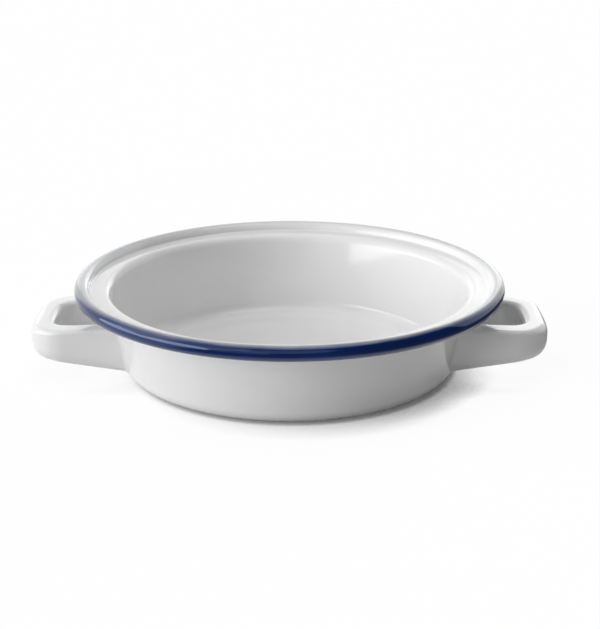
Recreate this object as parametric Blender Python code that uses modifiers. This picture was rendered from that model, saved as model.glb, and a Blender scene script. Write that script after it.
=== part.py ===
"""Enamelled egg dish: a shallow steel bowl with a rolled rim and two hollow loop handles.

The dish stands on the foot ring of its base, centred on the origin, with its handles on +X and -X.
Lengths are in metres, with +Z up.
"""

import bpy
import bmesh
import math
from mathutils import Vector

MM = 0.001

# The bowl's sheet: steel with its white enamel on both sides
SHEET = 1.2 * MM
DISH_HEIGHT = 37.2 * MM
BOWL_RADIUS = 72.1 * MM          # outer face of the wall, where the shoulder bends out of it
WALL_FLARE = math.radians(10.6)  # the wall leans out from the vertical by this much
CORNER_RADIUS = 6.5 * MM         # outer face, between base and wall
FOOT_RING_WIDTH = 5.0 * MM       # flat ring that the dish stands on
PANEL_SLOPE_WIDTH = 3.0 * MM     # between the foot ring and the raised panel
PANEL_RISE = 0.6 * MM
SHOULDER_RADIUS = 3.6 * MM       # top face, where the wall turns out into the flange
FLANGE_WIDTH = 5.4 * MM          # between the shoulder and the bead
FLANGE_FALL = math.radians(1.0)  # the flange drops this much towards the bead

# The rolled bead at the rim, with the blue enamel laid over it
BEAD_DIAMETER = 6.0 * MM         # over the blue enamel
BEAD_RISE = 3.3 * MM             # bead's top above the flange's top face, at the bead
CURL_GAP = 0.5 * MM              # between the curl's cut edge and the flange
BAND_COAT = 0.3 * MM
BAND_CLEARANCE = 0.3 * MM
BAND_START = math.radians(-105)  # under the bead, measured round its section from the outer side
BAND_END = math.radians(93)      # just past the bead's top

# The handles: loops pressed from strip, hollow, with a slot along the underside
HANDLE_PROJECTION = 31.1 * MM    # from the wall's outer face to the loop's outer side
HANDLE_SPREAD = 38.9 * MM        # between the middles of the two legs
LEG_THICKNESS = 8.6 * MM         # across the strip, seen from above
GRIP_THICKNESS = 9.6 * MM
HANDLE_HEIGHT = 12.7 * MM        # at the grip
HANDLE_TOP = 21.5 * MM           # at the grip
FOOT_RISE = 0.8 * MM             # the top rises this much from the grip to the wall
FOOT_DROP = 3.6 * MM             # the underside drops this much from the grip to the wall
HANDLE_EDGE_RADIUS = 3.5 * MM    # outer face of the section's corners
HOLE_EDGE_RADIUS = 1.8 * MM      # outer face of the top corner on the side of the loop's hole
HANDLE_STRIP = 1.2 * MM
HANDLE_SLOT = 2.6 * MM
OUTER_BEND = 14.1 * MM           # outer side of the loop's two corners
INNER_BEND = 6.5 * MM            # inner side of the loop's two corners
GRIP_BOW = 94.3 * MM             # outer side of the grip's outward bow
FOOT_CLEARANCE = 0.3 * MM        # between a leg's end and the wall
LEG_START = 0.75                 # of the wall's radius: where the legs start before they are coped

# Facets
RING_STEPS = 72
FINE_ARC = math.radians(22)      # turn of one facet on the small arcs of a section
BEND_STEPS = 6
BOW_STEPS = 3

WHITE = (0.93, 0.93, 0.92, 1.0)
BLUE = (0.02, 0.05, 0.24, 1.0)


def clear_scene():
    for old in list(bpy.data.objects):
        bpy.data.objects.remove(old)


def new_collection(name):
    collection = bpy.data.collections.new(name)
    bpy.context.scene.collection.children.link(collection)
    return collection


def enamel(name, colour, roughness):
    """Glass enamel on steel: glossy, not metallic."""
    material = bpy.data.materials.new(name)
    material.use_nodes = True
    shader = material.node_tree.nodes["Principled BSDF"]
    shader.inputs["Base Color"].default_value = colour
    shader.inputs["Roughness"].default_value = roughness
    shader.inputs["Metallic"].default_value = 0.0
    shader.inputs["Coat Weight"].default_value = 0.6
    return material


def mesh_object(name, mesh, collection, material=None):
    obj = bpy.data.objects.new(name, mesh)
    collection.objects.link(obj)
    if material:
        mesh.materials.append(material)
    return obj


def smooth(obj):
    obj.data.shade_smooth()
    obj.data.set_sharp_from_angle(angle=math.radians(40))


def arc(centre, radius, start, end, turn=FINE_ARC):
    """Points on an arc of a section, from one angle to the other, with facets of about one turn."""
    steps = max(2, round(abs(end - start) / turn))
    angles = [start + (end - start) * k / steps for k in range(steps + 1)]
    return [(centre[0] + radius * math.cos(a), centre[1] + radius * math.sin(a)) for a in angles]


def turned(name, profile, collection, material=None, closed=False):
    """A profile of (radius, height) points, turned once about Z. It runs down its outer side."""
    mesh = bpy.data.meshes.new(name)
    points = [(r, 0.0, z) for r, z in profile]
    edges = [(k, k + 1) for k in range(len(points) - 1)]
    if closed:
        edges.append((len(points) - 1, 0))
    mesh.from_pydata(points, edges, [])
    obj = mesh_object(name, mesh, collection, material)
    screw = obj.modifiers.new("turn", "SCREW")
    screw.axis = "Z"
    screw.steps = RING_STEPS
    screw.render_steps = RING_STEPS
    screw.use_merge_vertices = True
    screw.merge_threshold = 0.01 * MM
    return obj


def bake(obj):
    """Puts the evaluated mesh on the object and clears its modifiers."""
    graph = bpy.context.evaluated_depsgraph_get()
    mesh = bpy.data.meshes.new_from_object(obj.evaluated_get(graph))
    obj.modifiers.clear()
    obj.data = mesh


def bowl_layout():
    """Places that the bowl, the band and the handles share, from the driving sizes."""
    bead_centre_z = DISH_HEIGHT - BEAD_DIAMETER / 2
    curl_outer = BEAD_DIAMETER / 2 - BAND_COAT - BAND_CLEARANCE
    curl = curl_outer - SHEET / 2
    flange_z = DISH_HEIGHT - BEAD_RISE - SHEET / 2
    lead_in = bead_centre_z - flange_z
    shoulder = SHOULDER_RADIUS - SHEET / 2
    shoulder_r = BOWL_RADIUS - SHEET / 2 + shoulder * math.cos(WALL_FLARE)
    flange_r = shoulder_r + shoulder * math.sin(FLANGE_FALL)
    lead_in_r = flange_r + FLANGE_WIDTH * math.cos(FLANGE_FALL) + lead_in * math.sin(FLANGE_FALL)
    shoulder_z = (
        flange_z + lead_in * (1 - math.cos(FLANGE_FALL))
        + FLANGE_WIDTH * math.sin(FLANGE_FALL) - shoulder * math.cos(FLANGE_FALL)
    )
    corner = CORNER_RADIUS - SHEET / 2
    corner_z = CORNER_RADIUS
    wall_rise = shoulder_z + shoulder * math.sin(WALL_FLARE) - corner_z + corner * math.sin(WALL_FLARE)
    corner_r = (
        BOWL_RADIUS - SHEET / 2 - wall_rise * math.tan(WALL_FLARE) - corner * math.cos(WALL_FLARE)
    )
    return {
        "bead": (lead_in_r + lead_in + curl, bead_centre_z),
        "curl": curl,
        "lead_in": lead_in,
        "lead_in_centre": (lead_in_r, bead_centre_z),
        "shoulder": shoulder,
        "shoulder_centre": (shoulder_r, shoulder_z),
        "corner": corner,
        "corner_centre": (corner_r, corner_z),
    }


def curl_end(layout):
    """Angle on the bead's section where the curl stops short of the flange by the gap."""
    span = layout["curl"] + layout["lead_in"]
    away = layout["lead_in"] + SHEET + CURL_GAP
    cosine = (span ** 2 + layout["curl"] ** 2 - away ** 2) / (2 * span * layout["curl"])
    return -math.pi + math.acos(max(-1.0, min(1.0, cosine)))


def base_line(layout):
    """Middle line of the base, from the axis out to where the corner begins."""
    ring_inner = layout["corner_centre"][0] - FOOT_RING_WIDTH
    return [
        (0.0, SHEET / 2 + PANEL_RISE),
        (ring_inner - PANEL_SLOPE_WIDTH, SHEET / 2 + PANEL_RISE),
        (ring_inner, SHEET / 2),
    ]


def side_line(layout):
    """Middle line of the corner, the wall and the shoulder."""
    corner = arc(layout["corner_centre"], layout["corner"], -math.pi / 2, -WALL_FLARE)
    turn_out = math.pi / 2 - FLANGE_FALL
    return corner + arc(layout["shoulder_centre"], layout["shoulder"], math.pi - WALL_FLARE, turn_out)


def rim_line(layout):
    """Middle line of the flange's turn up into the bead and of the curl, to its cut edge."""
    lead_in = arc(layout["lead_in_centre"], layout["lead_in"], -math.pi / 2 - FLANGE_FALL, 0.0)
    return lead_in + arc(layout["bead"], layout["curl"], math.pi, curl_end(layout))[1:]


def offset_line(line, distance):
    """The line moved to its left by the distance, mitred at each point."""
    moved = []
    for k, (r, z) in enumerate(line):
        before = Vector(line[max(k - 1, 0)])
        here = Vector((r, z))
        after = Vector(line[min(k + 1, len(line) - 1)])
        back = (here - before).normalized() if k > 0 else (after - here).normalized()
        ahead = (after - here).normalized() if k < len(line) - 1 else back
        middle = (back + ahead).normalized()
        side = Vector((-middle.y, middle.x))
        step = distance / max(middle.dot(ahead), 0.5)
        moved.append((r + side.x * step, z + side.y * step))
    return moved


def make_bowl(collection, material):
    layout = bowl_layout()
    line = base_line(layout) + side_line(layout) + rim_line(layout)
    top = offset_line(line, SHEET / 2)
    under = offset_line(line, -SHEET / 2)
    bowl = turned("bowl", top + under[::-1], collection, material)
    bake(bowl)
    smooth(bowl)


def make_band(collection, material):
    """The blue coat: a thin C-shaped ring round the outside of the bead."""
    bead = bowl_layout()["bead"]
    outer = arc(bead, BEAD_DIAMETER / 2, BAND_END, BAND_START)
    inner = arc(bead, BEAD_DIAMETER / 2 - BAND_COAT, BAND_START, BAND_END)
    band = turned("rim_band", outer + inner, collection, material, closed=True)
    bake(band)
    smooth(band)


def loop_side(leg_y, bend, bow):
    """Half of one side of a handle seen from above, from its leg to the middle of its grip.

    The leg's side lies at leg_y and starts inside the wall, where the cope takes its end off.
    The corner is an arc tangent to the leg and to the arc of the grip's bow.
    """
    bow_x = BOWL_RADIUS + HANDLE_PROJECTION - GRIP_BOW
    bend_y = leg_y - bend
    bend_x = bow_x + math.sqrt((bow - bend) ** 2 - bend_y ** 2)
    meet = math.atan2(bend_y, bend_x - bow_x)
    leg_start = (BOWL_RADIUS * LEG_START, leg_y)
    corner = [
        (bend_x + bend * math.cos(turn), bend_y + bend * math.sin(turn))
        for turn in [math.pi / 2 + (meet - math.pi / 2) * k / BEND_STEPS for k in range(BEND_STEPS)]
    ]
    grip = [
        (bow_x + bow * math.cos(turn), bow * math.sin(turn))
        for turn in [meet * (1 - k / BOW_STEPS) for k in range(BOW_STEPS + 1)]
    ]
    return [leg_start] + corner + grip


def loop_stations():
    """Places along a handle, from its -Y leg round the grip to its +Y leg.

    Each is the middle of the strip there, the direction across it that faces out of the
    loop, and its width.
    """
    half = HANDLE_SPREAD / 2
    outer = loop_side(half + LEG_THICKNESS / 2, OUTER_BEND, GRIP_BOW)
    inner = loop_side(half - LEG_THICKNESS / 2, INNER_BEND, GRIP_BOW - GRIP_THICKNESS)
    side = []
    for (out_x, out_y), (in_x, in_y) in zip(outer, inner):
        width = math.hypot(out_x - in_x, out_y - in_y)
        middle = ((out_x + in_x) / 2, (out_y + in_y) / 2)
        side.append((middle, ((out_x - in_x) / width, (out_y - in_y) / width), width))
    mirrored = [((x, -y), (dx, -dy), width) for (x, y), (dx, dy), width in side]
    return mirrored + side[-2::-1]


def foot_growth(x):
    """How far the strip has widened at a place along X: 0 at the grip's inner side, 1 at the wall."""
    grip_x = BOWL_RADIUS + HANDLE_PROJECTION - GRIP_THICKNESS
    wall_x = math.sqrt(BOWL_RADIUS ** 2 - (HANDLE_SPREAD / 2) ** 2)
    return max(0.0, (grip_x - x) / (grip_x - wall_x))


def strip_section(width, height):
    """Section of the strip as (out, up) points from its middle and its top.

    The strip follows a rounded box, open along a slot in the middle of its underside. It
    reaches equally far under everywhere: under each leg either along a flat run, or only
    part of the way round the lower corners. So the slot is wider where the strip is.
    """
    flat = (LEG_THICKNESS - HANDLE_SLOT) / 2 - HANDLE_EDGE_RADIUS
    lip = width / 2 - HANDLE_EDGE_RADIUS - flat

    def corner(side, radius, inset, up, start, end):
        return arc((side * (width / 2 - radius), up), radius - inset, start, end)

    def walk(inset):
        low = HANDLE_EDGE_RADIUS - height
        cut = math.acos(min(1.0, max(0.0, -flat) / (HANDLE_EDGE_RADIUS - inset)))
        points = corner(-1, HANDLE_EDGE_RADIUS, inset, low, cut - math.pi, -math.pi)
        points += corner(-1, HOLE_EDGE_RADIUS, inset, -HOLE_EDGE_RADIUS, math.pi, math.pi / 2)
        points += corner(1, HANDLE_EDGE_RADIUS, inset, -HANDLE_EDGE_RADIUS, math.pi / 2, 0.0)
        points += corner(1, HANDLE_EDGE_RADIUS, inset, low, 0.0, -cut)
        if flat > 0:
            points = [(-lip, inset - height)] + points + [(lip, inset - height)]
        return points

    return walk(0.0) + walk(HANDLE_STRIP)[::-1]


def loft(name, rings, collection):
    """Skins a run of closed rings with equal counts, and caps both ends."""
    shape = bmesh.new()
    rows = [[shape.verts.new(point) for point in ring] for ring in rings]
    for near, far in zip(rows, rows[1:]):
        for k in range(len(near)):
            n = (k + 1) % len(near)
            shape.faces.new((near[k], near[n], far[n], far[k]))
    shape.faces.new(rows[0])
    shape.faces.new(rows[-1])
    bmesh.ops.recalc_face_normals(shape, faces=shape.faces)
    mesh = bpy.data.meshes.new(name)
    shape.to_mesh(mesh)
    shape.free()
    return mesh_object(name, mesh, collection)


def wall_cutter(collection):
    """The bowl's outer form grown by the clearance, which copes the legs' ends to the wall."""
    outside = offset_line(side_line(bowl_layout()), -SHEET / 2 - FOOT_CLEARANCE)[::-1]
    profile = [(0.0, outside[0][1])] + outside + [(0.0, outside[-1][1])]
    cutter = turned("wall_cutter", profile, collection)
    cutter.hide_render = True
    cutter.display_type = "WIRE"
    return cutter


def make_handle(name, side, collection, material, cutter):
    """One loop handle, on +X for side 1 and on -X for side -1."""
    rings = []
    for (x, y), (across_x, across_y), width in loop_stations():
        growth = foot_growth(x)
        section = strip_section(width, HANDLE_HEIGHT + (FOOT_RISE + FOOT_DROP) * growth)
        top = HANDLE_TOP + FOOT_RISE * growth
        rings.append([
            (side * (x + out * across_x), side * (y + out * across_y), top + up)
            for out, up in section
        ])
    handle = loft(name, rings, collection)
    cope = handle.modifiers.new("cope", "BOOLEAN")
    cope.operation = "DIFFERENCE"
    cope.solver = "EXACT"
    cope.object = cutter
    bake(handle)
    handle.data.materials.clear()
    handle.data.materials.append(material)
    smooth(handle)


def main():
    clear_scene()
    parts = new_collection("egg_dish")
    cutters = new_collection("cutters")
    white = enamel("white_enamel", WHITE, 0.12)
    blue = enamel("blue_enamel", BLUE, 0.15)
    make_bowl(parts, white)
    make_band(parts, blue)
    cutter = wall_cutter(cutters)
    make_handle("handle_right", 1, parts, white, cutter)
    make_handle("handle_left", -1, parts, white, cutter)


main()
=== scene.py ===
# Enamelled egg dish: its finished surfaces, a pale floor, soft light and the camera.
# Lengths are in metres, +Z is up. The dish stands on z = 0 and its handles lie along X.

import math
import bpy
import numpy as np
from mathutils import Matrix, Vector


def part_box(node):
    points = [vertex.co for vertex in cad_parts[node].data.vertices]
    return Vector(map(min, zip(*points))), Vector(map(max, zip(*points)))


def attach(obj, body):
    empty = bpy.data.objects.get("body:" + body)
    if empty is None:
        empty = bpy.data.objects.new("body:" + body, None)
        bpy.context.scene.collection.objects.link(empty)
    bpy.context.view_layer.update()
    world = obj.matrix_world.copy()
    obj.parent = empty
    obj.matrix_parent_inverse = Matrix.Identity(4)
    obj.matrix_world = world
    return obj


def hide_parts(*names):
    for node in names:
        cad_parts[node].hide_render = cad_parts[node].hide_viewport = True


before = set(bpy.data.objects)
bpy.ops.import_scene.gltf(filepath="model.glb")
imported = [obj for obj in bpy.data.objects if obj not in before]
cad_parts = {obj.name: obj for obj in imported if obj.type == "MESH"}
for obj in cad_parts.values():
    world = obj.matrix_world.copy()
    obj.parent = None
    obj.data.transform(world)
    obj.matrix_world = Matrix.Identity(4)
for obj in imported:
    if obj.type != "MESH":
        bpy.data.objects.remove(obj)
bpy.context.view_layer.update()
print("frame loaded:", ", ".join(sorted(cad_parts)))

mm = 0.001
touching = 0.0001 * mm           # points closer than this count as one
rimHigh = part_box("rim_band")[1]  # the rolled rim gives the dish's height and its widest radius


# An arc of a section: centre + radius * (cos, sin) of an angle in degrees, even from start to end.
def arcLine(centre, radius, start, end, count):
    turn = np.radians(np.linspace(start, end, count))
    return np.stack([centre[0] + radius * np.cos(turn), centre[1] + radius * np.sin(turn)], axis=1)


# A straight run: start * (1 - share) + end * share, with the share even from 0 to 1.
def straightLine(start, end, count):
    share = np.linspace(0.0, 1.0, count)[:, None]
    return np.array(start) * (1 - share) + np.array(end) * share


# A soft step: the first coordinate runs evenly, and the second as 10 t^3 - 15 t^4 + 6 t^5 between its ends.
def softStep(start, end, count):
    share = np.linspace(0.0, 1.0, count)
    rise = 10 * share ** 3 - 15 * share ** 4 + 6 * share ** 5
    return np.stack([start[0] + (end[0] - start[0]) * share, start[1] + (end[1] - start[1]) * rise], axis=1)


# Lines put end to end. A point that repeats the one before it is left out.
def joinLines(*lines):
    points = np.concatenate(lines)
    step = np.linalg.norm(np.diff(points, axis=0), axis=1)
    return points[np.concatenate([[True], step > touching])]


# Quads of a grid of rows * cols corners, as corner numbers: row * cols + col and its three neighbours. A
# wrapped side joins its last line to its first.
def gridQuads(rows, cols, wrapRows=False, wrapCols=False):
    row = np.arange(rows if wrapRows else rows - 1)[:, None]
    col = np.arange(cols if wrapCols else cols - 1)[None, :]
    here, below = row * cols, (row + 1) % rows * cols
    after = (col + 1) % cols
    return np.stack([here + col, here + after, below + after, below + col], axis=2).reshape(-1, 4)


# A mesh from corners and faces, given as whole arrays. Faces are turned round if they enclose less than
# nothing: the volume is the sum of corner . (corner x corner) / 6 over a fan of triangles of each face.
def meshPiece(name, corners, faceSets):
    volume = 0.0
    for faces in faceSets:
        for k in range(1, faces.shape[1] - 1):
            a, b, c = corners[faces[:, 0]], corners[faces[:, k]], corners[faces[:, k + 1]]
            volume += np.einsum("ij,ij->i", a, np.cross(b, c)).sum() / 6
    if volume < 0:
        faceSets = [faces[:, ::-1] for faces in faceSets]
    loops = np.concatenate([faces.ravel() for faces in faceSets]).astype(np.int32)
    sizes = np.concatenate([np.full(len(faces), faces.shape[1]) for faces in faceSets])
    starts = np.concatenate([[0], np.cumsum(sizes)[:-1]]).astype(np.int32)
    mesh = bpy.data.meshes.new(name)
    mesh.vertices.add(len(corners))
    mesh.vertices.foreach_set("co", corners.astype(np.float32).ravel())
    mesh.loops.add(len(loops))
    mesh.loops.foreach_set("vertex_index", loops)
    mesh.polygons.add(len(starts))
    mesh.polygons.foreach_set("loop_start", starts)
    mesh.update(calc_edges=True)
    mesh.validate()
    mesh.shade_smooth()
    piece = bpy.data.objects.new(name, mesh)
    bpy.context.scene.collection.objects.link(piece)
    triangles = sum(len(faces) * (faces.shape[1] - 2) for faces in faceSets)
    print(f"{name}: {triangles} triangles")
    return piece


# A value at each corner, which the materials read by its name.
def cornerValue(piece, name, values):
    layer = piece.data.attributes.new(name, "FLOAT", "POINT")
    layer.data.foreach_set("value", values.astype(np.float32))


# A section of (radius, height) points turned once about Z: x = r cos, y = r sin, z = height. Where it starts
# and ends on the axis, its end points are single corners with a fan of triangles round each.
def turnedPiece(name, section, segments):
    turn = np.linspace(0.0, 2 * np.pi, segments, endpoint=False)[:, None]
    onAxis = section[0, 0] < touching
    rings = section[1:-1] if onAxis else section
    r, z = rings[None, :, 0], rings[None, :, 1]
    grid = np.stack([r * np.cos(turn), r * np.sin(turn), z + 0 * turn], axis=2)
    corners = grid.reshape(-1, 3)
    cols = len(rings)
    if not onAxis:
        return meshPiece(name, corners, [gridQuads(segments, cols, True, True)])
    poles = np.array([[0.0, 0.0, section[0, 1]], [0.0, 0.0, section[-1, 1]]])
    here = np.arange(segments) * cols
    after = (np.arange(segments) + 1) % segments * cols
    first = np.full(segments, len(corners))
    firstFan = np.stack([first, here, after], axis=1)
    lastFan = np.stack([first + 1, after + cols - 1, here + cols - 1], axis=1)
    quads = gridQuads(segments, cols, True, False)
    return meshPiece(name, np.concatenate([corners, poles]), [quads, np.concatenate([firstFan, lastFan])])


bowlShape = {
    "sheet": 1.2 * mm,            # steel and the enamel on both its sides
    "wallRadius": 72.1 * mm,      # outer face, where the shoulder bends out of the wall
    "wallFlare": 10.6,            # degrees that the wall leans out from the vertical
    "cornerRadius": 6.5 * mm,     # outer face, between base and wall
    "footWidth": 5.0 * mm,        # flat ring that the dish stands on
    "panelSlope": 3.0 * mm,       # width of the step up to the raised middle of the base
    "panelRise": 0.6 * mm,
    "panelMelt": 9.0 * mm,        # the enamel inside spreads the step this much further in
    "shoulderRadius": 3.6 * mm,   # top face, where the wall turns out into the flange
    "flangeWidth": 5.4 * mm,
    "flangeFall": 1.0,            # degrees that the flange drops towards the bead
    "beadRadius": 3.0 * mm,
    "beadRise": 3.3 * mm,         # bead's top above the flange's top face
    "beadHollow": 1.2 * mm,       # radius inside the curl
    "beadFillet": 0.7 * mm,       # enamel in the groove between flange and bead
    "curlEnd": -108.0,            # degrees round the bead's section, from its outer side
    "segments": 320,
    # points along each line of the section, and where it has two, on the food side and on the underside
    "panelPoints": 10,
    "stepPoints": (30, 9),
    "cornerPoints": 18,
    "shoulderPoints": (16, 14),
    "filletPoints": 9,
    "beadPoints": 49,
    "lipPoints": 9,
    "hollowPoints": 22,
    "leadInPoints": 9,
    "footPoints": 3,
}


# Places on the bowl's section that its pieces share: arc centres of the corner, the shoulder and the bead.
# Each follows from the rim's box, down along lines and arcs that are tangent to each other.
def bowlPlaces(shape):
    flare, fall = math.radians(shape["wallFlare"]), math.radians(shape["flangeFall"])
    sheet, beadRadius = shape["sheet"], shape["beadRadius"]
    beadR, beadZ = rimHigh.x - beadRadius, rimHigh.z - beadRadius
    leadIn = beadZ - (rimHigh.z - shape["beadRise"] - sheet / 2)  # radius of the sheet's turn into the curl
    leadInR = beadR - shape["beadHollow"] - sheet / 2 - leadIn
    shoulderR = shape["wallRadius"] + (shape["shoulderRadius"] - sheet) * math.cos(flare)
    shoulderZ = (
        beadZ - leadIn * math.cos(fall) + shape["flangeWidth"] * math.sin(fall)
        - (shape["shoulderRadius"] - sheet / 2) * math.cos(fall)
    )
    wallRise = (
        shoulderZ + (shape["shoulderRadius"] - sheet) * math.sin(flare)
        - shape["cornerRadius"] * (1 - math.sin(flare))
    )
    cornerR = shape["wallRadius"] - wallRise * math.tan(flare) - shape["cornerRadius"] * math.cos(flare)
    return {
        "bead": (beadR, beadZ),
        "leadIn": (leadInR, beadZ),
        "leadInRadius": leadIn,
        "shoulder": (shoulderR, shoulderZ),
        "corner": (cornerR, shape["cornerRadius"]),
    }


# The bowl's closed section: along the food side from the axis to the bead, round the bead and its curl, and
# back along the underside. Straight runs join arcs that are tangent to them.
def bowlSection(shape):
    place = bowlPlaces(shape)
    sheet, flare, fall = shape["sheet"], shape["wallFlare"], shape["flangeFall"]
    wallTurn = 180.0 - flare
    cornerR = place["corner"][0]
    ringIn = cornerR - shape["footWidth"]
    panelR = ringIn - shape["panelSlope"]
    meltR = panelR - shape["panelMelt"]
    rise = shape["panelRise"]

    flangeTop = place["leadIn"][1] - place["leadInRadius"] * math.cos(math.radians(fall)) + sheet / 2
    fillet, beadRadius = shape["beadFillet"], shape["beadRadius"]
    beadR, beadZ = place["bead"]
    filletZ = flangeTop + fillet
    filletR = beadR - math.sqrt((beadRadius + fillet) ** 2 - (beadZ - filletZ) ** 2)
    meet = math.degrees(math.atan2(beadZ - filletZ, beadR - filletR))

    panelPoints, cornerPoints = shape["panelPoints"], shape["cornerPoints"]
    stepOver, stepUnder = shape["stepPoints"]
    shoulderOver, shoulderUnder = shape["shoulderPoints"]
    foodSide = [
        straightLine((0.0, sheet + rise), (meltR, sheet + rise), panelPoints),
        softStep((meltR, sheet + rise), (cornerR, sheet), stepOver),
        arcLine(place["corner"], shape["cornerRadius"] - sheet, -90.0, -flare, cornerPoints),
        arcLine(place["shoulder"], shape["shoulderRadius"], wallTurn, 90.0 - fall, shoulderOver),
        arcLine((filletR, filletZ), fillet, -90.0 - fall, meet, shape["filletPoints"]),
    ]
    curlEnd = shape["curlEnd"]
    lip = (beadRadius - shape["beadHollow"]) / 2
    lipTurn = math.radians(curlEnd)
    lipCentre = (
        beadR + (beadRadius - lip) * math.cos(lipTurn),
        beadZ + (beadRadius - lip) * math.sin(lipTurn),
    )
    bead = [
        arcLine(place["bead"], beadRadius, 180.0 + meet, curlEnd, shape["beadPoints"]),
        arcLine(lipCentre, lip, curlEnd, curlEnd - 180.0, shape["lipPoints"]),
        arcLine(place["bead"], shape["beadHollow"], curlEnd, 180.0, shape["hollowPoints"]),
    ]
    leadInOut = place["leadInRadius"] + sheet / 2
    underside = [
        arcLine(place["leadIn"], leadInOut, 0.0, -90.0 - fall, shape["leadInPoints"]),
        arcLine(place["shoulder"], shape["shoulderRadius"] - sheet, 90.0 - fall, wallTurn, shoulderUnder),
        arcLine(place["corner"], shape["cornerRadius"], -flare, -90.0, cornerPoints),
        straightLine((cornerR, 0.0), (ringIn, 0.0), shape["footPoints"]),
        softStep((ringIn, 0.0), (panelR, rise), stepUnder),
        straightLine((panelR, rise), (0.0, rise), panelPoints),
    ]
    return joinLines(*foodSide, *bead, *underside)


# The bowl is its section turned once round.
def makeBowl():
    bowl = turnedPiece("dishBowl", bowlSection(bowlShape), bowlShape["segments"])
    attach(bowl, "root")
    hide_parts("bowl")
    return bowl


bandShape = {
    "coat": 0.05 * mm,     # how far the blue coat stands proud of the white
    "root": 0.12 * mm,     # how deep its inner face lies in the white
    "start": -106.0,       # degrees round the bead's section, from its outer side
    "end": 152.0,
    "taper": 14.0,         # degrees over which the coat thins out at both ends
    "tuck": 0.01 * mm,     # both ends dip this much below the white
    "points": 76,          # along the coat's outer face, and again along its inner one
    "segments": 320,
    # Round the rim, by how far a place lies towards the front (-1 at the back, 1 at the front): where the
    # solid blue ends, over how many degrees it runs out beyond that, and how much painted shade greys the
    # white bead further up.
    "toFront": (-1.0, -0.5, -0.1, 0.12, 0.25, 0.31, 0.38, 0.63, 1.0),
    "solidTo": (20.0, 15.0, -20.0, -12.0, 0.0, 12.0, 22.0, 42.0, 42.0),
    "thinning": (40.0, 40.0, 42.0, 42.0, 45.0, 48.0, 54.0, 62.0, 62.0),
    "paintedShade": (0.36, 0.48, 0.45, 0.50, 0.65, 0.62, 0.55, 0.40, 0.20),
    "shadeFrom": 70.0,      # the painted shade is full up to here and gone from the next
    "shadeTo": 150.0,
}


# The coat is a thin closed ring on the bead: its outer face stands off the bead's circle by the coat's
# thickness * sin^2 of a quarter turn at each end, and its inner face lies within the white. Its corners carry
# three values: the angle round the bead, how much of the thinning zone lies below it, and the share of
# painted shade on the white bead, which falls as 1 - (3 t^2 - 2 t^3). How far a corner lies towards the front
# is -sin of its azimuth.
def makeBand():
    shape = bandShape
    beadR, beadZ = bowlPlaces(bowlShape)["bead"]
    degrees = np.linspace(shape["start"], shape["end"], shape["points"])
    fromEnd = np.minimum(degrees - shape["start"], shape["end"] - degrees)
    share = np.clip(fromEnd / shape["taper"], 0.0, 1.0)
    stand = shape["coat"] * np.sin(share * np.pi / 2) ** 2 - shape["tuck"] * (1 - share)
    turn = np.radians(degrees)
    radius = bowlShape["beadRadius"] + stand
    outer = np.stack([beadR + radius * np.cos(turn), beadZ + radius * np.sin(turn)], axis=1)[::-1]
    deep = bowlShape["beadRadius"] - shape["root"]
    inner = np.stack([beadR + deep * np.cos(turn), beadZ + deep * np.sin(turn)], axis=1)
    band = turnedPiece("rimBlue", np.concatenate([outer, inner]), shape["segments"])
    around = np.concatenate([degrees[::-1], degrees])[None, :]
    azimuth = np.linspace(0.0, 2 * np.pi, shape["segments"], endpoint=False)[:, None]
    edge, thinning, paintedShade = [
        np.interp(-np.sin(azimuth), shape["toFront"], shape[name]) for name in ("solidTo", "thinning", "paintedShade")
    ]
    t = np.clip((around - shape["shadeFrom"]) / (shape["shadeTo"] - shape["shadeFrom"]), 0.0, 1.0)
    cornerValue(band, "beadTurn", (around + 0 * azimuth).ravel())
    cornerValue(band, "pastSolid", ((around - edge) / thinning).ravel())
    # painted shade: how much the white bead is greyed, set round the rim and not by the lamps
    cornerValue(band, "paintedBeadShade", (paintedShade * (1 - t * t * (3 - 2 * t))).ravel())
    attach(band, "root")
    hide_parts("rim_band")
    return band


handleShape = {
    "spread": 38.9 * mm,       # between the middles of the two legs
    "legThickness": 8.6 * mm,  # across the strip, seen from above
    "gripThickness": 9.6 * mm,
    "height": 13.2 * mm,       # at the grip
    "top": 21.5 * mm,          # at the grip
    "footRise": 0.8 * mm,      # the top climbs this much from the grip to the wall
    "footDrop": 3.6 * mm,      # the underside drops this much
    "topRadius": (1.7 * mm, 4.8 * mm),   # outer top edge of the section, along the legs and at the grip
    "holeRadius": (1.3 * mm, 2.8 * mm),  # the edge round the hole's top
    "lowAcross": (4.0 * mm, 4.8 * mm),   # the section's lower corners are quarter ellipses
    "lowUp": (6.0 * mm, 7.0 * mm),
    "strip": 1.2 * mm,
    "slot": 2.6 * mm,          # open along the legs' underside, and wider where the strip is
    "outerBend": 14.1 * mm,    # the loop's two corners, seen from above
    "innerBend": 6.5 * mm,
    "bow": 94.3 * mm,          # outer side of the grip's outward bow
    "fillet": 1.5 * mm,        # enamel round the foot, where it meets the wall
    "sink": 0.15 * mm,         # the foot's end lies this deep in the wall
    # points round the section, in each corner and at each edge of the slot
    "cornerPoints": 12,
    "lipPoints": 9,
    # rows along half a loop: the foot's fillet, the rest of the leg, the bend, and the grip to its middle
    "filletRows": 8,
    "legRows": 9,
    "bendRows": 19,
    "gripRows": 6,
    "settleRounds": 5,         # the foot's end and its height are worked out from each other this many times
}


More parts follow.
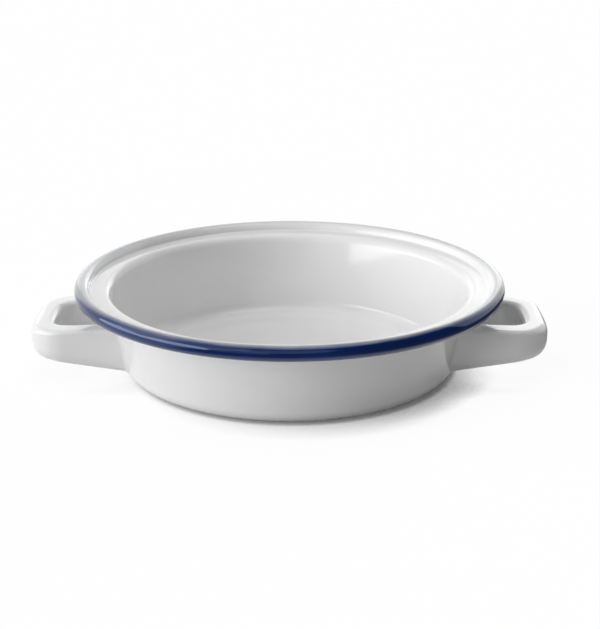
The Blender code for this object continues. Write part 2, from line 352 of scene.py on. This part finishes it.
# Radius of the wall's outer face at a height: the flared line, or the corner's arc below where they meet.
def wallRadiusAt(z):
    place = bowlPlaces(bowlShape)
    flare = math.radians(bowlShape["wallFlare"])
    radius = bowlShape["cornerRadius"]
    cornerR, cornerZ = place["corner"]
    meetR, meetZ = cornerR + radius * math.cos(flare), cornerZ - radius * math.sin(flare)
    line = meetR + (z - meetZ) * math.tan(flare)
    arc = cornerR + np.sqrt(np.clip(radius ** 2 - (cornerZ - z) ** 2, 0.0, None))
    return np.where(z > meetZ, line, arc)


# The strip's section for each width in a column of widths, where grip runs from 0 at the legs to 1 at the
# grip. The outer and the inner face have four arcs joined by straight runs:
# x = side * (width / 2 - a) + (a - inset) cos t, height = (2 low - 1) b + (b - inset) sin t.
# A half circle rounds each edge of the slot, and the strip reaches equally far under everywhere. A point's
# height is base - low * (section height). The normal points out of the strip, and skin is 1 on the outer
# face and 0 on the inner one.
def stripSection(shape, width, grip):
    under = (shape["legThickness"] - shape["slot"] - shape["strip"]) / 2
    share = np.linspace(0.0, 1.0, shape["cornerPoints"])
    top, hole, lowAcross, lowUp = [
        shape[name][0] + (shape[name][1] - shape[name][0]) * grip
        for name in ("topRadius", "holeRadius", "lowAcross", "lowUp")
    ]

    def corner(side, across, up, inset, low, start, end):
        turn = np.radians(start + (end - start) * share)
        out = side * (width / 2 - across) + (across - inset) * np.cos(turn)
        base = (2 * low - 1) * up + (up - inset) * np.sin(turn)
        tall = up / across
        steep = np.sqrt((tall * np.cos(turn)) ** 2 + np.sin(turn) ** 2)
        normal = tall * np.cos(turn) / steep, np.sin(turn) / steep
        return np.stack(np.broadcast_arrays(out, base, *normal), axis=2)

    def walk(inset):
        cut = np.degrees(np.arccos((lowAcross - under) / (lowAcross - inset)))
        return np.concatenate([
            corner(-1, lowAcross, lowUp, inset, 1, cut - 180.0, -180.0),
            corner(-1, hole, hole, inset, 0, 180.0, 90.0),
            corner(1, top, top, inset, 0, 90.0, 0.0),
            corner(1, lowAcross, lowUp, inset, 1, 0.0, -cut),
        ], axis=1)

    outer, inner = walk(0.0), walk(shape["strip"])
    ends = outer[:, -1:, :2], inner[:, -1:, :2]
    turn = np.radians(np.linspace(-90.0, -270.0, shape["lipPoints"]))[1:-1]
    around = np.stack([np.cos(turn), np.sin(turn)], axis=1)[None] + 0 * width[:, :, None]
    radius = np.linalg.norm(ends[0] - ends[1], axis=2, keepdims=True) / 2
    lip = np.concatenate([(ends[0] + ends[1]) / 2 + radius * around, around], axis=2)
    mirrored = lip[:, ::-1] * [-1.0, 1.0, -1.0, 1.0]
    ring = np.concatenate([outer, lip, inner[:, ::-1], mirrored], axis=1)
    walked, lipped = outer.shape[1], lip.shape[1]
    low = np.repeat([1.0, 0.0, 0.0, 1.0], len(share))
    fade = np.linspace(1.0, 0.0, lipped + 2)[1:-1]
    return {
        "out": ring[:, :, 0], "base": ring[:, :, 1], "normalOut": ring[:, :, 2], "normalUp": ring[:, :, 3],
        "low": np.concatenate([low, np.ones(lipped), low[::-1], np.ones(lipped)]),
        "skin": np.concatenate([np.ones(walked), fade, np.zeros(walked), fade[::-1]]),
        "walked": walked, "lipped": lipped,
    }


# One side of the loop seen from above, from its corner's start to the middle of the grip: an arc tangent to
# the leg, whose side lies at legY, then an arc of the grip's bow.
def loopSide(shape, legY, bend, bow, bowX):
    bendY = legY - bend
    bendX = bowX + math.sqrt((bow - bend) ** 2 - bendY ** 2)
    meet = math.degrees(math.atan2(bendY, bendX - bowX))
    corner = arcLine((bendX, bendY), bend, 90.0, meet, shape["bendRows"])
    grip = arcLine((bowX, 0.0), bow, meet, 0.0, shape["gripRows"])
    return np.concatenate([corner, grip[1:]])


# One half of a loop, from the wall to the middle of the grip, as a grid of corners: rows along the loop and
# columns round the section. Each row of the corner and the grip lies between a point of the loop's outer
# side and one of its inner side. The leg's rows are drawn between the first of them and the foot, whose end
# follows the wall. Near it the skin swells by a hollow fillet: fillet - sqrt(fillet^2 - (fillet -
# distance)^2).
def handleHalf(shape, reach):
    half, thickness, fillet = shape["spread"] / 2, shape["legThickness"], shape["fillet"]
    innerX = reach - shape["gripThickness"]
    bow, bowX = shape["bow"], reach - shape["bow"]
    wallX = math.sqrt(bowlShape["wallRadius"] ** 2 - half ** 2)

    def height(x, section):
        growth = np.maximum(0.0, (innerX - x) / (innerX - wallX))
        tall = shape["height"] + (shape["footRise"] + shape["footDrop"]) * growth
        return shape["top"] + shape["footRise"] * growth + section["base"] - section["low"] * tall

    outerSide = loopSide(shape, half + thickness / 2, shape["outerBend"], bow, bowX)
    innerBow = bow - shape["gripThickness"]
    innerSide = loopSide(shape, half - thickness / 2, shape["innerBend"], innerBow, bowX)
    width = np.linalg.norm(outerSide - innerSide, axis=1)[:, None]
    middle, across = (outerSide + innerSide) / 2, (outerSide - innerSide) / width
    loop = stripSection(shape, width, 1 - (middle[:, 1:] / half) ** 2)
    loopX = middle[:, :1] + loop["out"] * across[:, :1]
    loopY = middle[:, 1:] + loop["out"] * across[:, 1:]

    leg = stripSection(shape, np.array([[thickness]]), np.zeros((1, 1)))
    legLength = middle[0, 0] - wallX
    near = np.linspace(0.0, fillet, shape["filletRows"])
    far = np.linspace(fillet, legLength, shape["legRows"])[1:-1]
    share = np.concatenate([near, far])[:, None] / legLength
    inside = np.clip(fillet - share * legLength, 0.0, None)
    swell = (fillet - np.sqrt(fillet ** 2 - inside ** 2)) * leg["skin"]
    legY = (half + leg["out"]) * (1 - share) + loopY[0] * share + swell * leg["normalOut"]
    legX = wallX + (loopX[0] - wallX) * share
    for settle in range(shape["settleRounds"]):  # the wall's radius depends on the height, and that on X
        legZ = height(legX, leg) + swell * leg["normalUp"]
        foot = np.sqrt(wallRadiusAt(legZ) ** 2 - legY ** 2) - shape["sink"]
        legX = foot + (loopX[0] - foot) * share
    rows = [np.stack([legX, legY, legZ], axis=2), np.stack([loopX, loopY, height(loopX, loop)], axis=2)]
    return np.concatenate(rows), leg


# The loop is its half and the half's mirror image in the plane Y = 0. Its side is 1 on +X, and -1 turns it
# half round to -X. The strip's cut ends, which lie in the wall, are closed by quads from the outer to the
# inner face and one face at each edge of the slot.
def makeHandle(name, node, side):
    low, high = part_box(node)
    reach = max(high.x, -low.x)
    half, section = handleHalf(handleShape, reach)
    grid = np.concatenate([half, half[-2::-1] * [1.0, -1.0, 1.0]])
    rows, cols = grid.shape[:2]
    walked, lipped = section["walked"], section["lipped"]
    outer = np.arange(walked)
    inner = 2 * walked + lipped - 1 - outer
    capQuads = np.stack([outer[1:], outer[:-1], inner[:-1], inner[1:]], axis=1)
    slotEdges = np.stack([
        np.arange(walked + lipped, walked - 2, -1),
        np.concatenate([[0], np.arange(cols - 1, cols - lipped - 2, -1)]),
    ])
    last = (rows - 1) * cols
    faceSets = [
        gridQuads(rows, cols, False, True),
        np.concatenate([capQuads, capQuads[:, ::-1] + last]),
        np.concatenate([slotEdges, slotEdges[:, ::-1] + last]),
    ]
    corners = grid.reshape(-1, 3) * [side, side, 1.0]
    handle = meshPiece(name, corners, faceSets)
    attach(handle, "root")
    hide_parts(node)
    return handle


# Gives an input a plain value, or links it where the value is another node's output.
def feed(tree, socket, value):
    if isinstance(value, bpy.types.NodeSocket):
        tree.links.new(value, socket)
    else:
        socket.default_value = value


# Adds a node, sets its own fields and feeds its inputs. An underscore in an input's name stands for a space.
def addNode(tree, kind, place, fields=None, **inputs):
    node = tree.nodes.new(kind)
    node.location = place
    for field, value in (fields or {}).items():
        setattr(node, field, value)
    for name, value in inputs.items():
        feed(tree, node.inputs[name.replace("_", " ")], value)
    return node


# A sum, product or other operation on values and outputs.
def addMath(tree, place, operation, *values):
    node = addNode(tree, "ShaderNodeMath", place, {"operation": operation})
    for socket, value in zip(node.inputs, values):
        feed(tree, socket, value)
    return node.outputs[0]


# Draws a value out from one pair of limits to another, evenly or with a soft start and end.
def addRange(tree, place, value, limits, results=(0.0, 1.0), soft=False):
    return addNode(
        tree, "ShaderNodeMapRange", place, {"interpolation_type": "SMOOTHSTEP" if soft else "LINEAR"},
        Value=value, From_Min=limits[0], From_Max=limits[1], To_Min=results[0], To_Max=results[1],
    ).outputs["Result"]


# Goes over from one colour to another by a factor.
def addMix(tree, place, factor, under, over):
    node = addNode(tree, "ShaderNodeMix", place, {"data_type": "RGBA"}, Factor=factor, A=under, B=over)
    return node.outputs["Result"]


# A noise over a place, from its pattern of scale per metre, detail and roughness.
def addNoise(tree, place, where, pattern):
    scale, detail, roughness = pattern
    return addNode(
        tree, "ShaderNodeTexNoise", place, Vector=where, Scale=scale, Detail=detail, Roughness=roughness,
    ).outputs["Fac"]


# The enamel's patterns over the surface, each a noise of scale per metre, detail and roughness.
skinPattern = {
    "tone": (38.0, 2.0, 0.5),
    "toneLimits": (0.42, 0.75),   # levels of the noise where the thin colour starts and is full
    "polish": (160.0, 3.0, 0.6),
    "polishLimits": (0.3, 0.7),   # levels of the noise that give the least and the most roughness
    "polishShare": (0.7, 1.3),    # both as shares of the finish's own
    "waves": (95.0, 1.5, 0.4),
    "peel": (620.0, 1.0, 0.4),
    "peelShare": 0.06,            # finer relief on top of the waves
    "depth": 0.06 * mm,
}


# Enamel's skin, for both colours: a slow change of tone, a roughness that wanders, and the slightly uneven,
# glassy surface that melted glass has, as a normal from the height waves + peelShare * peel.
def enamelSkin():
    tree = bpy.data.node_groups.new("enamelSkin", "ShaderNodeTree")
    for label, kind, value in [
        ("Colour", "NodeSocketColor", (0.9, 0.9, 0.9, 1.0)),
        ("Thin Colour", "NodeSocketColor", (0.8, 0.8, 0.8, 1.0)),
        ("Polish", "NodeSocketFloat", 0.08),
        ("Wave", "NodeSocketFloat", 0.5),
    ]:
        tree.interface.new_socket(name=label, in_out="INPUT", socket_type=kind).default_value = value
    for label, kind in [
        ("Colour", "NodeSocketColor"),
        ("Roughness", "NodeSocketFloat"),
        ("Normal", "NodeSocketVector"),
    ]:
        tree.interface.new_socket(name=label, in_out="OUTPUT", socket_type=kind)
    given = addNode(tree, "NodeGroupInput", (-900, 0)).outputs
    where = addNode(tree, "ShaderNodeTexCoord", (-900, -300)).outputs["Object"]
    tone, polish, waves, peel = [
        addNoise(tree, (-600, place), where, skinPattern[name])
        for name, place in (("tone", 200), ("polish", -60), ("waves", -320), ("peel", -560))
    ]
    thin = addRange(tree, (-400, 200), tone, skinPattern["toneLimits"])
    wander = addRange(tree, (-400, -60), polish, skinPattern["polishLimits"], skinPattern["polishShare"])
    fine = addMath(tree, (-400, -560), "MULTIPLY", peel, skinPattern["peelShare"])
    relief = addMath(tree, (-200, -400), "ADD", waves, fine)
    bump = addNode(
        tree, "ShaderNodeBump", (100, -300),
        Strength=given["Wave"], Distance=skinPattern["depth"], Height=relief,
    )
    addNode(
        tree, "NodeGroupOutput", (500, 0),
        Colour=addMix(tree, (-200, 200), thin, given["Colour"], given["Thin Colour"]),
        Roughness=addMath(tree, (-200, -60), "MULTIPLY", wander, given["Polish"]),
        Normal=bump.outputs["Normal"],
    )
    return tree


whiteFinish = {
    "colour": (0.90, 0.90, 0.898, 1.0),
    "thinColour": (0.87, 0.872, 0.872, 1.0),
    "glass": 1.5,          # index of refraction
    "gleam": (1.0, 1.0, 1.0, 1.0),
    "polish": 0.09,        # roughness
    "wave": 0.5,           # strength of the waves
}

blueFinish = {
    "colour": (0.002, 0.017, 0.105, 1.0),
    "thinColour": (0.004, 0.030, 0.17, 1.0),
    "glass": 1.58,
    "gleam": (0.72, 0.82, 1.0, 1.0),   # tint of what the blue glass mirrors
    "polish": 0.08,
    "wave": 0.5,
    "paintedShade": (0.02, 0.022, 0.03, 1.0),  # colour of the painted shade that greys the white bead beside the blue
    "lowGone": -104.0,     # degrees round the bead where the blue ends under it, and where it is solid
    "lowSolid": -98.0,
    "thinning": 50.0,      # degrees over which the blue thins out, on average
    "wander": 5.0,         # degrees that the blue's edges wander
    "edge": (90.0, 3.0, 0.55),         # the wandering's noise: scale per metre, detail and roughness
    "edgeLimits": (0.3, 0.7),          # levels of that noise at the wandering's two ends
}


# The skin's node, with a finish's own values.
def placeSkin(tree, place, skin, finish):
    return addNode(
        tree, "ShaderNodeGroup", place, {"node_tree": skin}, Colour=finish["colour"],
        Thin_Colour=finish["thinColour"], Polish=finish["polish"], Wave=finish["wave"],
    ).outputs


# A material with its Principled shader fed by the enamel skin. Returns it, its shader and the skin's outputs.
def enamelMaterial(name, skin, finish):
    material = bpy.data.materials.new(name)
    material.use_nodes = True
    tree = material.node_tree
    shader = tree.nodes["Principled BSDF"]
    coat = placeSkin(tree, (-400, 0), skin, finish)
    for label, value in [
        ("IOR", finish["glass"]), ("Specular Tint", finish["gleam"]),
        ("Base Color", coat["Colour"]), ("Roughness", coat["Roughness"]), ("Normal", coat["Normal"]),
    ]:
        feed(tree, shader.inputs[label], value)
    return material, shader, coat


# Blue over white: the mask is 1 where the coat is thick and falls to 0 at both edges of the band, which
# wander. It is (1 - soft step of pastSolid) * (soft step of the bead's angle). Under it, the white bead is
# greyed by a share of painted shade that is set round the rim.
def blueEnamel(skin):
    material, shader, blue = enamelMaterial("blueEnamel", skin, blueFinish)
    tree = material.node_tree
    white = placeSkin(tree, (-400, 320), skin, whiteFinish)
    turn, past, paintedShade = [
        addNode(tree, "ShaderNodeAttribute", (-1200, place), {"attribute_name": name}).outputs["Fac"]
        for name, place in (("beadTurn", 500), ("pastSolid", 700), ("paintedBeadShade", 1100))
    ]
    where = addNode(tree, "ShaderNodeTexCoord", (-1400, 250)).outputs["Object"]
    edge = addNoise(tree, (-1200, 250), where, blueFinish["edge"])
    sway = blueFinish["wander"] / 2
    drift = addRange(tree, (-1000, 250), edge, blueFinish["edgeLimits"], (-sway, sway))
    low = addMath(tree, (-800, 420), "ADD", turn, drift)
    high = addMath(tree, (-800, 640), "MULTIPLY_ADD", drift, 1 / blueFinish["thinning"], past)
    lower = addRange(tree, (-600, 900), low, (blueFinish["lowGone"], blueFinish["lowSolid"]), soft=True)
    upper = addRange(tree, (-600, 620), high, (0.0, 1.0), (1.0, 0.0), soft=True)
    mask = addMath(tree, (-380, 700), "MULTIPLY", upper, lower)
    # painted shade: the white bead darkened towards a grey by the share carried at its corners
    shadedWhite = addMix(tree, (-300, 500), paintedShade, white["Colour"], blueFinish["paintedShade"])
    feed(tree, shader.inputs["Base Color"], addMix(tree, (-180, 300), mask, shadedWhite, blue["Colour"]))
    return material


skin = enamelSkin()
whiteEnamel = enamelMaterial("whiteEnamel", skin, whiteFinish)[0]
makeBowl().data.materials.append(whiteEnamel)
makeBand().data.materials.append(blueEnamel(skin))
makeHandle("handleRight", "handle_right", 1.0).data.materials.append(whiteEnamel)
makeHandle("handleLeft", "handle_left", -1.0).data.materials.append(whiteEnamel)
print("dish, band and handles made")


studio = {
    "floorRadius": 3.0,
    "floorCorners": 64,
    "floorDrop": 0.02 * mm,   # the floor lies this much below the dish, so that the two don't touch
    "floorBounce": 0.62,      # how much light the floor sends back up at the dish
    "openFloor": 1.25,        # brings the lit floor, as the camera sees it, up to white
    "shadowShare": 0.06,      # how much of the lamps' shadows shows on the white floor
    # Two soft shadows where the dish stands. Each has its reach, the openness of the floor where it is full
    # and where it starts, and the floor's level at full shadow.
    "standShadows": (
        (18 * mm, 0.17, 0.67, 0.04),
        (3 * mm, 0.45, 0.85, 0.10),
    ),
    "shadowSamples": 4,
    "shadowLean": (-0.80, 0.52, 0.30),   # openness is measured this way, so that the shadow falls opposite
    "surround": 0.02,         # level of light from all round
    "brightSide": (-0.707, 0.707, 0.0),  # the room and the floor are bright behind the dish and to its left
    "brightFloor": (-0.025, 0.015),      # metres towards that side between which the floor turns bright
    "brightRoom": (0.26, 0.46),          # the same for the room, as the cosine to that side
    "brightNear": 110 * mm,   # and the floor is bright this close to the dish's middle
    "darkLevel": 0.05,        # what glossy surfaces see of the dark side, where the backdrop is 1
    # strength, azimuth from +X, height above the floor and spread in degrees
    "lamps": {
        "keyLeft": (0.72, 202.0, 35.0, 70.0),
        "sideLeft": (0.66, 172.0, 8.0, 32.0),
        "sideMiddle": (1.32, 208.0, 8.0, 42.0),
        "sideFront": (0.34, 230.0, 8.0, 60.0),
        "backRight": (1.05, 47.0, 8.0, 74.0),
        "back": (0.33, 90.0, 8.0, 46.0),
        "topBack": (0.26, 70.0, 62.0, 46.0),
        "front": (0.25, 268.0, 35.0, 46.0),
        "top": (0.76, 0.0, 88.0, 46.0),
    },
}


# How far a direction or a place lies towards the room's bright side: its dot product with that side's
# direction, drawn out to 0 at the first and 1 at the second of two limits. Within a distance of the middle,
# if one is given, it is the larger of that product and the distance left.
def brightShare(tree, place, where, limits, near=None):
    x, y = place
    along = addNode(tree, "ShaderNodeVectorMath", place, {"operation": "DOT_PRODUCT"})
    feed(tree, along.inputs[0], where)
    feed(tree, along.inputs[1], studio["brightSide"])
    reached = along.outputs["Value"]
    if near is not None:
        away = addNode(tree, "ShaderNodeVectorMath", (x, y - 200), {"operation": "LENGTH"})
        feed(tree, away.inputs[0], where)
        within = addMath(tree, (x + 200, y - 200), "SUBTRACT", near, away.outputs["Value"])
        reached = addMath(tree, (x + 400, y), "MAXIMUM", reached, within)
    return addRange(tree, (x + 600, y), reached, limits, soft=True)


# What a glossy ray sees, as a level: 1 - isGlossy * (1 - darkLevel) * (1 - share). The camera always sees 1.
def glossLevel(tree, place, path, share):
    x, y = place
    dark = addRange(tree, place, share, (0.0, 1.0), (1.0 - studio["darkLevel"], 0.0))
    dim = addMath(tree, (x + 200, y), "MULTIPLY", dark, path["Is Glossy Ray"])
    return addMath(tree, (x + 400, y), "SUBTRACT", 1.0, dim)


# What the camera and mirror-like surfaces see is white, and what lights the dish is plainer: 1 for a camera,
# glossy or transmission ray.
def seenRay(tree, place, path):
    x, y = place
    either = addMath(tree, (x + 200, y), "MAXIMUM", path["Is Camera Ray"], path["Is Glossy Ray"])
    return addMath(tree, (x + 400, y), "MAXIMUM", either, path["Is Transmission Ray"])


# A grey of one level, as a colour.
def grey(level):
    return (level, level, level, 1.0)


# The floor's material. To the lamps it is a pale matt surface. Seen, it is white, less a share of the lamps'
# shadows and the soft dark close to where the dish stands.
def floorMaterial():
    material = bpy.data.materials.new("paleFloor")
    material.use_nodes = True
    tree = material.node_tree
    tree.nodes.clear()
    path = addNode(tree, "ShaderNodeLightPath", (-900, 400)).outputs
    where = addNode(tree, "ShaderNodeTexCoord", (-1300, -500)).outputs["Object"]
    leanX, leanY, leanZ = studio["shadowLean"]
    lean = addNode(tree, "ShaderNodeCombineXYZ", (-900, -300), X=leanX, Y=leanY, Z=leanZ)
    shades = []
    for k, (reach, full, start, level) in enumerate(studio["standShadows"]):
        openness = addNode(
            tree, "ShaderNodeAmbientOcclusion", (-700, -300 - 250 * k), {"samples": studio["shadowSamples"]},
            Distance=reach, Normal=lean.outputs[0],
        )
        shades.append(addRange(
            tree, (-500, -300 - 250 * k), openness.outputs["AO"], (full, start), (level, 1.0), soft=True,
        ))
    shade = addMath(tree, (-300, -300), "MULTIPLY", *shades)
    bright = brightShare(tree, (-1100, -600), where, studio["brightFloor"], studio["brightNear"])
    level = addMath(tree, (-200, -400), "MULTIPLY", shade, glossLevel(tree, (-400, -700), path, bright))
    glow = addNode(tree, "ShaderNodeEmission", (0, -400), Strength=level)
    lit = addNode(tree, "ShaderNodeBsdfDiffuse", (0, -200), Color=grey(studio["openFloor"]))
    bounce = addNode(tree, "ShaderNodeBsdfDiffuse", (0, 0), Color=grey(studio["floorBounce"]))
    seen = addNode(tree, "ShaderNodeMixShader", (250, -250))
    final = addNode(tree, "ShaderNodeMixShader", (500, 0))
    for mix, factor, under, over in [
        (seen, studio["shadowShare"], glow, lit),
        (final, seenRay(tree, (-500, 300), path), bounce, seen),
    ]:
        feed(tree, mix.inputs[0], factor)
        feed(tree, mix.inputs[1], under.outputs[0])
        feed(tree, mix.inputs[2], over.outputs[0])
    addNode(tree, "ShaderNodeOutputMaterial", (750, 0), Surface=final.outputs[0])
    material.cycles.emission_sampling = "NONE"  # its white is for the eye, and isn't sampled as a lamp
    return material


# The floor is a disc: r = radius * share, x = r cos, y = r sin, as a fan of triangles.
def makeFloor():
    count = studio["floorCorners"]
    turn = np.linspace(0.0, 2 * np.pi, count, endpoint=False)
    ring = np.stack([np.cos(turn), np.sin(turn), 0 * turn], axis=1) * studio["floorRadius"]
    corners = np.concatenate([ring, [[0.0, 0.0, 0.0]]]) - [0.0, 0.0, studio["floorDrop"]]
    here = np.arange(count)
    fan = np.stack([here, (here + 1) % count, np.full(count, count)], axis=1)
    mesh = bpy.data.meshes.new("floor")
    mesh.from_pydata(corners.tolist(), [], fan.tolist())
    mesh.materials.append(floorMaterial())
    floor = bpy.data.objects.new("floor", mesh)
    bpy.context.scene.collection.objects.link(floor)


# The room: a faint light from all round, and white where it is seen.
def makeWorld():
    world = bpy.data.worlds.new("studio")
    bpy.context.scene.world = world
    world.use_nodes = True
    tree = world.node_tree
    tree.nodes.clear()
    path = addNode(tree, "ShaderNodeLightPath", (-900, 300)).outputs
    where = addNode(tree, "ShaderNodeTexCoord", (-1100, -200)).outputs["Generated"]
    bright = brightShare(tree, (-900, -200), where, studio["brightRoom"])
    level = glossLevel(tree, (-250, -350), path, bright)
    around = addNode(tree, "ShaderNodeBackground", (0, 0), Color=grey(1.0), Strength=studio["surround"])
    white = addNode(tree, "ShaderNodeBackground", (0, -200), Color=grey(1.0), Strength=level)
    final = addNode(tree, "ShaderNodeMixShader", (250, 0))
    feed(tree, final.inputs[0], seenRay(tree, (-500, 300), path))
    feed(tree, final.inputs[1], around.outputs[0])
    feed(tree, final.inputs[2], white.outputs[0])
    addNode(tree, "ShaderNodeOutputWorld", (500, 0), Surface=final.outputs[0])


# A soft lamp far away, placed by its azimuth from +X and its height above the floor, in degrees.
def makeSun(name, strength, azimuth, height, spread):
    data = bpy.data.lights.new(name, "SUN")
    data.energy = strength
    data.angle = math.radians(spread)
    lamp = bpy.data.objects.new(name, data)
    lamp.rotation_euler = (math.radians(90.0 - height), 0.0, math.radians(azimuth + 90.0))
    bpy.context.scene.collection.objects.link(lamp)


makeFloor()
makeWorld()
for name, lamp in studio["lamps"].items():
    makeSun(name, *lamp)
print("floor and light made")

view = {
    "eye": (4.14 * mm, -615.95 * mm, 228.42 * mm),
    "pitch": 18.627,      # degrees below the horizontal, looking along +Y
    "lens": 92.2,         # mm
    "sensor": 36.0,       # mm, along the picture's long side
    "nearest": 10 * mm,   # what is closer to the camera isn't drawn
}


# The camera stands at the eye and looks along +Y, turned down by the pitch.
def makeCamera():
    data = bpy.data.cameras.new("photoView")
    data.lens = view["lens"]
    data.sensor_width = view["sensor"]
    data.clip_start = view["nearest"]
    camera = bpy.data.objects.new("photoView", data)
    camera.location = view["eye"]
    camera.rotation_euler = (math.radians(90.0 - view["pitch"]), 0.0, 0.0)
    bpy.context.scene.collection.objects.link(camera)
    bpy.context.scene.camera = camera


makeCamera()
bpy.context.scene.view_settings.view_transform = "Standard"
print("camera set")
